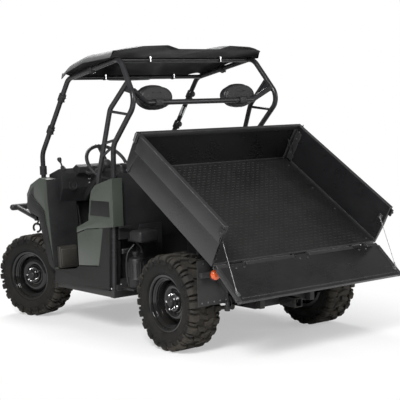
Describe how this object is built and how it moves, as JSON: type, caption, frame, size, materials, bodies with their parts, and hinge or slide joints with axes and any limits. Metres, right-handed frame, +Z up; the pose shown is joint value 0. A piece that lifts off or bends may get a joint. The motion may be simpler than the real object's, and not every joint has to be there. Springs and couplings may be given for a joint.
{
  "type": "side by side utility vehicle",
  "caption": "Open four-wheel utility vehicle with roll cage, hard roof, two seats, steered front wheels and a tipping cargo bed with folding tailgate.",
  "frame": {"origin": "on the ground at the middle of the vehicle's length and width, tailgate down", "axes": "+X forward, +Y to the vehicle's left, +Z up"},
  "size_m": [3.3022, 1.6628, 2.103],
  "materials": {
    "frame_steel": "satin black paint",
    "cage_steel": "satin black paint with worn edges",
    "roof_plastic": "moulded black plastic",
    "vinyl": "black vinyl",
    "black_plastic": "grained black plastic",
    "olive_plastic": "satin olive grey",
    "grey_plastic": "dark grey plastic",
    "lamp_lens": "clear lens",
    "tail_lens": "orange red lens",
    "shock_steel": "black spring steel",
    "cast_metal": "as cast",
    "dull_steel": "black paint",
    "bright_steel": "bright",
    "rim_paint": "gloss black paint",
    "tyre": "dusty rubber",
    "bed_paint": "black powder coat"
  },
  "bodies": {
    "chassis": {"arch_flares": "black_plastic", "cage_cross": "cage_steel", "cage_front": "cage_steel", "cage_rear": "cage_steel", "dash_lever": "black_plastic", "dashboard": "black_plastic", "engine_block": "cast_metal", "exhaust": "dull_steel", "fenders": "olive_plastic", "floor_tub": "black_plastic", "frame_crossmembers": "frame_steel", "frame_rails": "frame_steel", "frame_towers": "frame_steel", "front_bumper": "frame_steel", "front_drive": "cast_metal", "headlamps": "lamp_lens", "headrests": "vinyl", "hitch_receiver": "dull_steel", "hood": "olive_plastic", "nose": "black_plastic", "pedals": "black_plastic", "propshaft": "dull_steel", "rear_bar": "frame_steel", "rear_drive": "cast_metal", "rear_plates": "black_plastic", "rear_uprights": "cast_metal", "rockers": "grey_plastic", "roof": "roof_plastic", "seat_backs": "vinyl", "seat_box": "black_plastic", "seat_cushions": "vinyl", "shocks": "shock_steel", "side_lower": "olive_plastic", "side_upper": "olive_plastic", "sill_tubes": "frame_steel", "splash_panels": "black_plastic", "steering_column": "black_plastic", "steering_rack": "frame_steel", "strut_body": "frame_steel", "strut_clevis": "frame_steel", "suspension_arms": "dull_steel", "tail_lamps": "tail_lens"},
    "knuckle_left": {"knuckle_left": "cast_metal"},
    "knuckle_right": {"knuckle_right": "cast_metal"},
    "tie_rod": {"tie_rod": "dull_steel"},
    "steering_wheel": {"steering_wheel": "black_plastic"},
    "wheel_front_left": {"tyre_front_left": "tyre", "rim_front_left": "rim_paint"},
    "wheel_front_right": {"tyre_front_right": "tyre", "rim_front_right": "rim_paint"},
    "wheel_rear_left": {"tyre_rear_left": "tyre", "rim_rear_left": "rim_paint"},
    "wheel_rear_right": {"tyre_rear_right": "tyre", "rim_rear_right": "rim_paint"},
    "bed": {"bed_floor": "bed_paint", "bed_sides": "bed_paint", "bed_headboard": "bed_paint", "gate_cables": "bright_steel"},
    "tailgate": {"tailgate": "bed_paint"},
    "strut_rod": {"strut_rod": "bright_steel"}
  },
  "joints": [
    {"name": "steer_left", "type": "hinge", "parent": "chassis", "child": "knuckle_left", "pos_m": [1.0675, 0.555, 0.33], "axis": [0, 0, 1], "range_deg": [-49.9, 14.1]},
    {"name": "steer_right", "type": "hinge", "parent": "chassis", "child": "knuckle_right", "pos_m": [1.0675, -0.555, 0.33], "axis": [0, 0, 1], "range_deg": [-49.9, 14.1]},
    {"name": "steering_wheel_turn", "type": "hinge", "parent": "chassis", "child": "steering_wheel", "pos_m": [0.372, 0.35, 1.235], "axis": [-0.766, 0, 0.6428], "range_deg": [-400.2, 113.8]},
    {"name": "tie_rod_slide", "type": "slide", "parent": "chassis", "child": "tie_rod", "axis": [0, 1, 0], "range_m": [-0.0238, 0.0831]},
    {"name": "wheel_front_left_spin", "type": "hinge", "parent": "knuckle_left", "child": "wheel_front_left", "pos_m": [1.03984, 0.64064, 0.33], "axis": [-0.3074, 0.9516, 0], "continuous": true},
    {"name": "wheel_front_right_spin", "type": "hinge", "parent": "knuckle_right", "child": "wheel_front_right", "pos_m": [1.09516, -0.64064, 0.33], "axis": [-0.3074, 0.9516, 0], "continuous": true},
    {"name": "wheel_rear_left_spin", "type": "hinge", "parent": "chassis", "child": "wheel_rear_left", "pos_m": [-0.8775, 0.635, 0.33], "axis": [0, 1, 0], "continuous": true},
    {"name": "wheel_rear_right_spin", "type": "hinge", "parent": "chassis", "child": "wheel_rear_right", "pos_m": [-0.8775, -0.635, 0.33], "axis": [0, 1, 0], "continuous": true},
    {"name": "bed_tilt", "type": "hinge", "parent": "chassis", "child": "bed", "pos_m": [-1.083, 0, 0.779], "axis": [0, 1, 0], "range_deg": [0, 32.5]},
    {"name": "tailgate_fold", "type": "hinge", "parent": "bed", "child": "tailgate", "pos_m": [-1.42361, 0, 0.62129], "axis": [0, 1, 0], "range_deg": [0, 99], "deforming": ["gate_cables"]},
    {"name": "strut_slide", "type": "slide", "parent": "chassis", "child": "strut_rod", "axis": [-0.2819, 0, 0.9595], "range_m": [-0.2355, 0]}
  ],
  "couplings": [
    {"joint": "steer_right", "follows": "steer_left", "ratio": 1},
    {"joint": "steering_wheel_turn", "follows": "steer_left", "ratio": 8},
    {"joint": "tie_rod_slide", "follows": "steer_left", "m_per_rad": -0.095},
    {"joint": "strut_slide", "follows": "bed_tilt", "m_per_rad": -0.4143}
  ]
}
